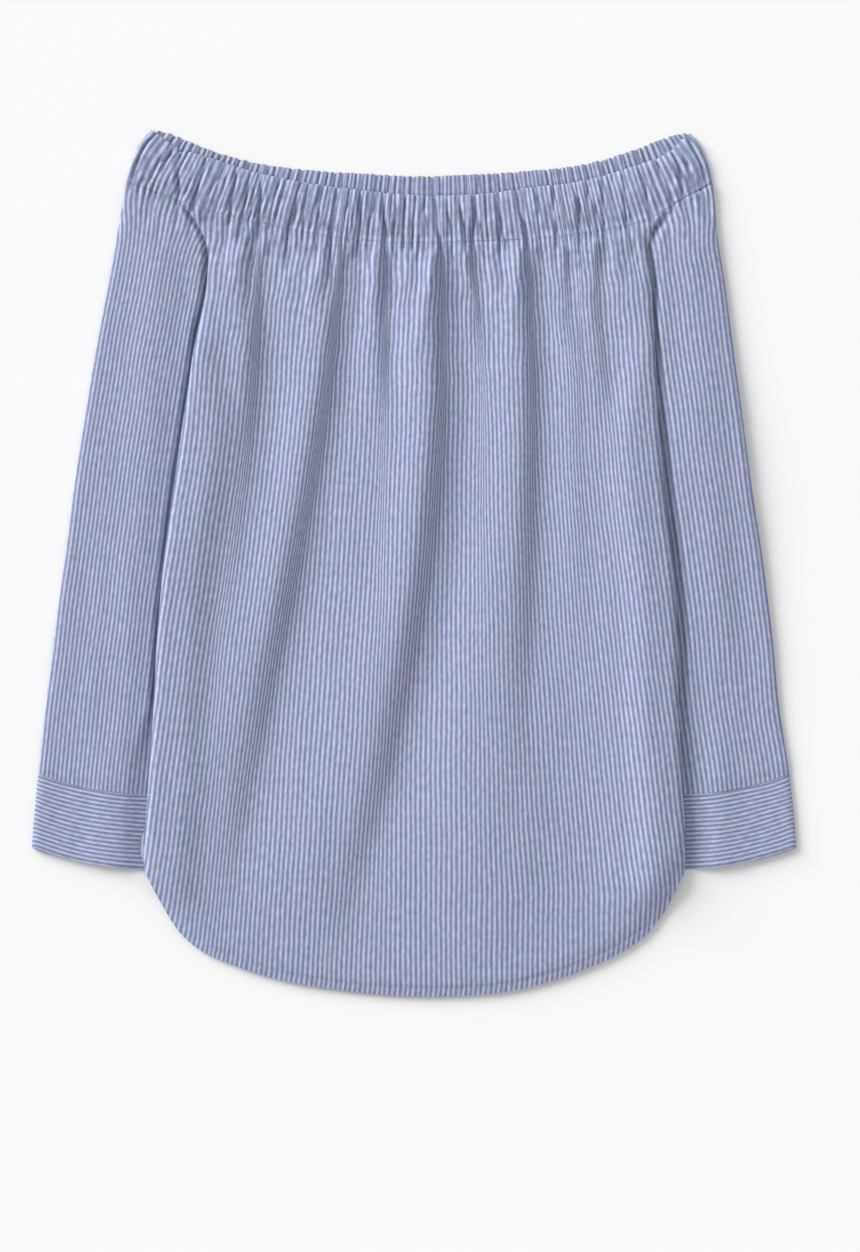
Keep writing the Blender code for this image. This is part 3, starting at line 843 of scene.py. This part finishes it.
def build_back(material):
    """The back panel, flat on the surface between the sleeves."""
    share = np.linspace(0.0, 1.0, BACK_COLUMNS)[None, :]
    steps = np.concatenate([np.linspace(0.0, 0.93, 90), np.linspace(0.935, 1.0, 26)])[:, None]

    def place(y):
        short = (ARMHOLE_LAP + 0.6) * fade(UNDERARM - LIFT_LENGTH, UNDERARM, y)
        bulge = BACK_SHOWS * hump(y - BACK_SHOWS_AT, 9.5)
        return blend(edge("left", y) + short - bulge, edge("right", y) - short, share)

    top = settle(place(UNDERARM), lambda x: back_line(x) - 0.6, place)
    hem = curve(HEM, "y", share) + 1.2
    y = blend(top, hem, steps)
    x = place(y)
    bottom = back_bottom(x, y)
    uv = np.stack([x / HEM_PERIOD, y / 10.0], -1)
    top = bottom + SHELL + HEM_THICKER * hem_band(x, y)
    piece = shell("back_cloth", (x, y, top), (x, y, bottom), uv, material)
    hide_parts("back_panel")


def cuff_line(side, x, level):
    """The bowed line across a sleeve's end at a level."""
    inner, far = tucked(side, level), outer(side, level)
    share = np.clip((x - inner) / (far - inner), 0.0, 1.0)
    return level + CUFF_BOW * share ** CUFF_BOW_POWER


def tube_places(side, y):
    """Places round a sleeve: its inner fold, over the top from there, and back on its underside."""
    inward = INWARD[side]
    far, near, inner = outer(side, y), edge(side, y), tucked(side, y)
    risen = near - inward * EDGE_BAND
    rolled = far + inward * EDGE_BAND
    hidden = [blend(inner - inward * 1.5, near, step / 6) for step in range(7)]
    rising = [blend(near, risen, step / 14) for step in range(1, 15)]
    spread = [blend(risen, rolled, step / 34) for step in range(1, 34)]
    turned = [far + inward * EDGE_BAND * (1.0 - step / 15) ** 1.7 for step in range(16)]
    low = [far + inward * step for step in (0.4, 1.2, 2.6, 4.5)]
    low += [blend(far + inward * 4.5, inner - inward * 1.5, step / 12) for step in range(1, 13)]
    return {"inner": [inner], "top": hidden + rising + spread + turned, "low": low}


def tube_grid(side, lines, steps):
    """Points round and along a tube, and the number of the last column on its top."""
    places = tube_places(side, 0.0)
    columns = []
    for kind, layer in (("inner", "front"), ("top", "front"), ("low", "back"), ("inner", "back")):
        columns += [(kind, at, layer) for at in range(len(places[kind]))]
    xs, ys = [], []
    for kind, at, layer in columns:
        def place(y, kind=kind, at=at):
            return tube_places(side, y)[kind][at]

        start = place(0.0)
        y = blend(settle(start, lines[layer], place), settle(start, lines["end"], place), steps)
        ys.append(y)
        xs.append(np.array([place(value) for value in y]))
    return np.stack(xs, 1), np.stack(ys, 1), len(places["top"])


def tube(name, side, lines, height_of, wall, slit_y, steps, uv_of, material,
         joins_casing=False):
    """A flattened tube on its solid's form, open along its inner edge above slit_y."""
    inward = INWARD[side]
    x, y, last_top = tube_grid(side, lines, steps)
    drop = front_line(x) - y
    from_outer = inward * (x - outer(side, y))
    height = height_of(x, y, steps[:, None])
    level = sleeve_top(side, x, y, height, drop)
    if joins_casing:
        level = joined_to_casing(x, level, drop, from_outer)
    z_out, z_in, x_in = np.zeros_like(x), np.zeros_like(x), x.copy()

    top = slice(1, last_top + 1)
    turn = 1.0 - np.clip(from_outer[:, top] / SLEEVE_ROLL, 0.0, 1.0)
    z_out[:, top] = level[:, top]
    z_in[:, top] = level[:, top] - wall + wall * turn ** 4
    x_in[:, top] += inward * wall * turn ** 4

    low = slice(last_top + 1, -1)
    sag = np.clip(from_outer[:, low] / 4.5, 0.0, 1.0)
    z_out[:, low] = height[:, :1] / 2 * (1.0 - np.sqrt(1.0 - (1.0 - sag) ** 2))
    z_in[:, low] = z_out[:, low] + wall
    x_in[:, low] += inward * wall * (1.0 - sag) ** 2

    closed = y[:, 0] < slit_y
    z_out[:, 0] = np.where(closed, PRESSED_HEIGHT / 2, SLEEVE_LOWEST)
    z_in[:, 0] = np.where(closed, PRESSED_HEIGHT / 2, SLEEVE_LOWEST - wall)
    x_in[:, 0] = np.where(closed, x[:, 0] - inward * wall, x[:, 0])
    z_in[:, -1] = wall
    ids = np.arange(x.size).reshape(x.shape)
    ids[closed, -1] = ids[closed, 0]
    uv = uv_of(x, y, drop, last_top)
    return shell(name, (x, y, z_out), (x_in, y, z_in), uv, material, ids)


def joined_to_casing(x, level, drop, from_outer):
    """A sleeve's upper face, brought to the stitched line where it meets the casing."""
    share = casing_share(x)
    joined = pinched(blend(line_height(share), level, fade(0.0, 9.0, drop)), share, drop)
    return blend(level, joined, fade(0.0, 7.0, from_outer))


def build_sleeve(side, material):
    """A sleeve, open along its armhole and closed from the underarm down."""
    period = SLEEVE_PERIOD[side]
    from_x = np.array(SLEEVE_STRIPES_FROM[side])
    start = stripe_number(from_x, front_line(from_x), 0.0)
    start = start - INWARD[side] * abs(from_x - outer(side, 295.0)) / period

    def uv_of(x, y, drop, last_top):
        across = INWARD[side] * np.abs(x - outer(side, y))
        across[:, last_top + 1:] *= -1.0
        plain = start + across / period + 0.12 * ripple(x, y, 18.0, 33.0, 1.2)
        falls = np.maximum(drop, 0.0)
        leaning = x - SLEEVE_LEAN[side] * falls
        joined = stripe_number(leaning, y, falls, casing_share(leaning))
        share = fade(0.0, 55.0, drop)
        share[:, last_top + 1:] = 1.0
        return np.stack([blend(joined, plain, share), y / 10.0], -1)

    def height_of(_x, y, step):
        puffed = blend(PUFF_TOP, PUFF[side], fade(230.0, 110.0, y))
        return blend(puffed, SLEEVE_END, fade(80.0, -150.0, y)) - 0.9 * fade(0.982, 1.0, step)

    lines = {
        "front": lambda x: front_line(x) - 0.2,
        "back": lambda x: back_line(x) - 0.6,
        "end": lambda x: cuff_line(side, x, CUFF_SEAM) + 0.1,
    }
    last_steps = [0.984, 0.991, 0.996, 1.0]
    steps = np.concatenate([np.linspace(0.0, 0.1, 28), np.linspace(0.108, 0.975, 110), last_steps])
    piece = tube(
        "sleeve_cloth_" + side, side, lines, height_of, SHELL, UNDERARM - 9.0, steps, uv_of,
        material, joins_casing=True)
    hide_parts("sleeve_" + side)


def build_cuff(side, material, thread):
    """A plain straight cuff of doubled cloth, its stripes running round it."""
    def uv_of(x, y, _drop, _last_top):
        down = cuff_line(side, x, CUFF_SEAM) - y
        wander = 0.12 * ripple(x, y, 21.0, 15.0, 0.6)
        return np.stack([down / CUFF_PERIOD - 0.3 + wander, np.abs(x - outer(side, y)) / 10.0], -1)

    def height_of(x, _y, step):
        edge_dip = fade(0.03, 0.0, step) + fade(0.975, 1.0, step)
        return CUFF_TOP - 0.8 * edge_dip + 0.0 * x

    def seam(x):
        return cuff_line(side, x, CUFF_SEAM)

    lines = {"front": seam, "back": seam, "end": lambda x: cuff_line(side, x, CUFF_END)}
    first_steps, last_steps = [0.0, 0.008, 0.02, 0.035], [0.965, 0.98, 0.992, 1.0]
    steps = np.concatenate([first_steps, np.linspace(0.055, 0.945, 30), last_steps])
    slit_y = np.inf
    piece = tube(
        "cuff_cloth_" + side, side, lines, height_of, CUFF_SHELL, slit_y, steps, uv_of,
        material)
    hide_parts("cuff_" + side)
    sew_cuff(side, thread)


def casing_point(share, down, layer):
    """Points of the casing by their place along the neck and down its height."""
    x = blend(blend(*CASING_TOP_CORNERS, share), blend(*CASING_LOW_CORNERS, share), down)
    top = curve(CASING, "front_top", share)
    rise = curve(CASING, "back_top", share) - top if layer == "back" else 0.0
    y = blend(top, curve(CASING, "front_low", share), down) + rise
    bulge = CASING_BULGE * np.sin(math.pi * down)
    x = x + bulge * (fade(0.9, 1.0, share) - fade(0.1, 0.0, share))
    for corner_x, corner_y, inward in zip(CASING_TOP_CORNERS, CASING["back_top"][[0, -1]], (1.0, -1.0)):
        near = np.exp(-((x - corner_x) ** 2 + (y - corner_y) ** 2) / 49.0)
        x, y = x + inward * 1.6 * near, y - 2.2 * near
    return x, y


def casing_height(share, down):
    """Upper face of the casing's front layer."""
    crown = np.clip(4.0 * down * (1.0 - down), 0.0, 1.0) ** 0.5
    x, y = casing_point(share, down, "front")
    high = blend(CASING_EDGE, CASING_CROWN, crown) + casing_gathers(share, down)
    high = soft_floor(high + 1.1 * crown * crumple(x, y), LOWEST)
    high = blend(high, line_height(share), fade(0.85, 1.0, down))
    high = pinched(high, share, (1.0 - down) * CASING_WIDTH)
    corner = np.minimum(share, 1.0 - share) * NECK_LENGTH
    turn = 1.0 - np.clip(corner / CASING_ROLL, 0.0, 1.0)
    return blend(2.9, high, np.sqrt(1.0 - turn * turn))


def build_casing(material, thread):
    """The gathered elastic casing: a ring laid double, with its back layer's inside in sight."""
    first_downs, last_downs = [0.0, 0.015, 0.04, 0.075], [0.92, 0.95, 0.975, 1.0]
    downs = np.concatenate([first_downs, np.linspace(0.12, 0.88, 18), last_downs])[:, None]
    crowded = np.concatenate([CREASES["low"], 0.5 * (CREASES["low"] + CREASES["top"])])
    front = uneven_columns(CASING_COLUMNS, crowded, 0.0, 1.0)[1:-1]
    rng = np.random.default_rng(SMALL_CREASE_SEED + 1)
    creases = np.linspace(0.008, 0.992, BACK_CREASES) + rng.uniform(-0.005, 0.005, BACK_CREASES)
    creases = np.sort(creases)
    depths = rng.uniform(0.3, 1.0, BACK_CREASES) ** 1.5 * (1.0 + 0.9 * np.abs(2.0 * creases - 1.0) ** 2)
    back = uneven_columns(CASING_BACK_COLUMNS, creases, 0.0, 1.0)[1:-1][::-1]

    x_front, y_front = casing_point(front[None, :], downs, "front")
    top_front = casing_height(front[None, :], downs)
    wave = casing_gathers(front[None, :], 0.0)
    y_front = y_front + (0.5 + 0.55 * wave) * fade(0.12, 0.0, downs)
    x_back, y_back = casing_point(back[None, :], downs, "back")
    gathers = np.zeros(x_back.shape)
    for at, depth in zip(creases, depths):
        away = (back[None, :] - at) * NECK_LENGTH + 0.6 * np.sin(5.0 * downs + 40.0 * at)
        gathers -= BACK_CREASE_DEPTH * depth * groove(away, 0.85)
    y_back = y_back + 0.45 * gathers * fade(0.12, 0.0, downs)
    seen = fade(-4.0, 3.0, y_back - curve(CASING, "front_top", back[None, :]))
    level = blend(BACK_UNDER_FRONT, BACK_INSIDE, seen)
    level = soft_floor(level + gathers, 0.7) - 0.5 * fade(0.05, 0.0, downs)

    x_right, y_right = casing_point(1.0, downs, "front")
    x_left, y_left = casing_point(0.0, downs, "front")
    x = np.concatenate([x_front, x_right, x_back, x_left], 1)
    y = np.concatenate([y_front, y_right, y_back, y_left], 1)
    fold_level = np.full(x_right.shape, 2.5)
    z_out = np.concatenate([top_front, fold_level, 0.0 * x_back, fold_level], 1)
    z_in = np.concatenate([top_front - CASING_SHELL, fold_level, level, fold_level], 1)
    inset = np.zeros_like(x)
    inset[:, x_front.shape[1]] = -CASING_SHELL
    inset[:, -1] = CASING_SHELL
    shares = np.concatenate([front, [1.0], back, [0.0]])[None, :] + 0.0 * downs
    low_x = blend(*CASING_LOW_CORNERS, shares)
    count = stripe_number(low_x, front_line(low_x), 0.0, shares, downs)
    uv = np.stack([count, 30.0 - 4.4 * downs + 0.0 * x], -1)
    ids = np.arange(x.size).reshape(x.shape)
    ids = np.concatenate([ids, ids[:, :1]], 1)
    uv = np.concatenate([uv, uv[:, :1]], 1)
    outside, inside = (x, y, z_out), (x + inset, y, z_in)
    piece = shell("casing_cloth", outside, inside, uv, material, ids)
    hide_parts("neck_casing")
    sew_casing(thread)


def new_material(name, roughness, sheen):
    """A material with its shader, to which colours and bumps are still to be linked."""
    material = bpy.data.materials.new(name)
    material.use_nodes = True
    shader = material.node_tree.nodes["Principled BSDF"]
    feed(shader, {"Roughness": roughness, "Sheen Weight": sheen})
    return material, shader


def feed(node, inputs):
    """Set a node's inputs, each to a value or from another node's output."""
    for name, value in inputs.items():
        if isinstance(value, bpy.types.NodeSocket):
            node.id_data.links.new(value, node.inputs[name])
        else:
            node.inputs[name].default_value = value
    return node


def striped_cotton(name):
    """Cotton poplin with woven stripes. The UV map counts stripes across and centimetres along."""
    material, shader = new_material(name, 0.82, 0.12)
    nodes = material.node_tree.nodes
    feed(shader, {"Sheen Roughness": 0.5, "Specular IOR Level": 0.25})
    place = nodes.new("ShaderNodeUVMap")
    place.uv_map = "cloth"
    axes = feed(nodes.new("ShaderNodeSeparateXYZ"), {0: place.outputs["UV"]})

    def noise(vector, scale, detail):
        texture = nodes.new("ShaderNodeTexNoise")
        return feed(texture, {"Vector": vector, "Scale": scale, "Detail": detail}).outputs["Fac"]

    def stretched_noise(scale_across, scale_along, detail):
        stretch = nodes.new("ShaderNodeMapping")
        feed(stretch, {"Vector": place.outputs["UV"], "Scale": (scale_across, scale_along, 1.0)})
        return noise(stretch.outputs["Vector"], 1.0, detail)

    def math_node(operation, *values):
        node = nodes.new("ShaderNodeMath")
        node.operation = operation
        return feed(node, dict(enumerate(values))).outputs[0]

    def ranged(value, low, high):
        node = nodes.new("ShaderNodeMapRange")
        ends = {"From Min": 0.3, "From Max": 0.7, "To Min": low, "To Max": high}
        return feed(node, {"Value": value, **ends}).outputs["Result"]

    def multiplied(colour, factor, other):
        node = nodes.new("ShaderNodeMix")
        node.data_type = "RGBA"
        node.blend_type = "MULTIPLY"
        return feed(node, {"Factor": factor, "A": colour, "B": other}).outputs["Result"]

    wander = noise(place.outputs["UV"], 1.3, 3.0)
    shifted = math_node("ADD", axes.outputs["X"], math_node("MULTIPLY", wander, 0.10))
    stripe = nodes.new("ShaderNodeValToRGB")
    stripe.color_ramp.interpolation = "EASE"
    elements = stripe.color_ramp.elements
    elements[0].position, elements[0].color = 0.0, (*BLUE, 1.0)
    elements[1].position, elements[1].color = 1.0, (*BLUE, 1.0)
    for position, colour in ((0.40, BLUE), (0.54, WHITE), (0.86, WHITE)):
        elements.new(position).color = (*colour, 1.0)
    feed(stripe, {"Fac": math_node("FRACT", shifted)})

    # Warp and weft threads, eleven to a stripe pair across and thirty to a centimetre along
    warp = math_node("SINE", math_node("MULTIPLY", axes.outputs["X"], 2.0 * math.pi * 11.0))
    weft = math_node("SINE", math_node("MULTIPLY", axes.outputs["Y"], 2.0 * math.pi * 30.0))
    weave = math_node("MULTIPLY", warp, weft)

    slub = ranged(stretched_noise(1.3, 1.6, 3.0), 0.84, 1.15)
    fleck = ranged(stretched_noise(6.0, 9.0, 2.0), 0.96, 1.04)
    thread_shade = math_node("MULTIPLY_ADD", weave, 0.04, 1.0)
    shade = math_node("MULTIPLY", math_node("MULTIPLY", slub, fleck), thread_shade)
    warm_share = ranged(stretched_noise(0.8, 0.7, 2.0), 0.0, 1.0)
    cool_share = ranged(stretched_noise(0.10, 0.22, 2.0), 0.0, 1.0)
    warm = multiplied(stripe.outputs["Color"], warm_share, (1.05, 0.96, 1.02, 1.0))
    cool = multiplied(warm, cool_share, (0.94, 1.02, 0.99, 1.0))

    bump = feed(nodes.new("ShaderNodeBump"), {"Strength": 0.5, "Distance": 0.00006, "Height": weave})
    crinkle = feed(nodes.new("ShaderNodeBump"), {"Strength": 0.35, "Distance": 0.0006, "Height": wander})
    feed(crinkle, {"Normal": bump.outputs["Normal"]})
    feed(shader, {"Base Color": multiplied(cool, 1.0, shade), "Normal": crinkle.outputs["Normal"]})
    return material


def thread_material():
    """Sewing cotton of the cloth's blue with a slight unevenness along it."""
    material, shader = new_material("sewing_thread", 0.6, 0.2)
    nodes = material.node_tree.nodes
    place = nodes.new("ShaderNodeTexCoord")
    twist = nodes.new("ShaderNodeTexNoise")
    feed(twist, {"Vector": place.outputs["Object"], "Scale": 900.0, "Detail": 2.0})
    shade = nodes.new("ShaderNodeValToRGB")
    elements = shade.color_ramp.elements
    elements[0].position, elements[0].color = 0.3, (0.22, 0.25, 0.39, 1.0)
    elements[1].position, elements[1].color = 0.7, (0.36, 0.39, 0.52, 1.0)
    feed(shade, {"Fac": twist.outputs["Fac"]})
    bump = nodes.new("ShaderNodeBump")
    feed(bump, {"Strength": 0.4, "Distance": 0.0001, "Height": twist.outputs["Fac"]})
    feed(shader, {"Base Color": shade.outputs["Color"], "Normal": bump.outputs["Normal"]})
    return material


def floor_material():
    material, shader = new_material("floor_paint", 0.9, 0.0)
    feed(shader, {"Base Color": (0.86, 0.86, 0.862, 1.0)})
    return material


def build_floor():
    half = FLOOR_HALF * MILLIMETRE
    corners = [(-half, -half, 0), (half, -half, 0), (half, half, 0), (-half, half, 0)]
    mesh = bpy.data.meshes.new("floor")
    mesh.from_pydata(corners, [], [(0, 1, 2, 3)])
    mesh.materials.append(floor_material())
    floor = add_object("floor", mesh)
    floor.location.z = -FLOOR_DROP * MILLIMETRE


def build_light():
    """A broad low key from the upper left, and an even pale surround."""
    light = bpy.data.lights.new("key", "SUN")
    light.energy = KEY_STRENGTH
    light.angle = math.radians(KEY_WIDTH)
    key = add_object("key", light)
    height, turn = math.radians(KEY_HEIGHT), math.radians(KEY_TURN)
    level = math.cos(height)
    towards = Vector((-math.cos(turn) * level, math.sin(turn) * level, math.sin(height)))
    key.rotation_mode = "QUATERNION"
    key.rotation_quaternion = towards.to_track_quat("Z", "Y")
    world = bpy.data.worlds.new("surround")
    world.use_nodes = True
    feed(world.node_tree.nodes["Background"], {"Color": (1.0, 1.0, 1.0, 1.0), "Strength": SURROUND})
    bpy.context.scene.world = world
    bpy.context.scene.view_settings.view_transform = "Standard"


def build_camera():
    """Straight above the laid garment, framed as in the photograph."""
    camera = bpy.data.cameras.new("camera")
    camera.sensor_width = 36.0
    camera.lens = camera.sensor_width * CAMERA_HEIGHT / PICTURE_HEIGHT
    eye = add_object("camera", camera)
    eye.location = [value * MILLIMETRE for value in (*PICTURE_CENTRE, CAMERA_HEIGHT)]
    bpy.context.scene.camera = eye


def main():
    build_camera()
    build_light()
    build_floor()
    cloth = striped_cotton("striped_cotton")
    cuff_cloth = striped_cotton("cuff_cotton")
    thread = thread_material()
    build_front(cloth, thread)
    build_back(cloth)
    build_casing(cloth, thread)
    for side in SIDES:
        build_sleeve(side, cloth)
        build_cuff(side, cuff_cloth, thread)


main()
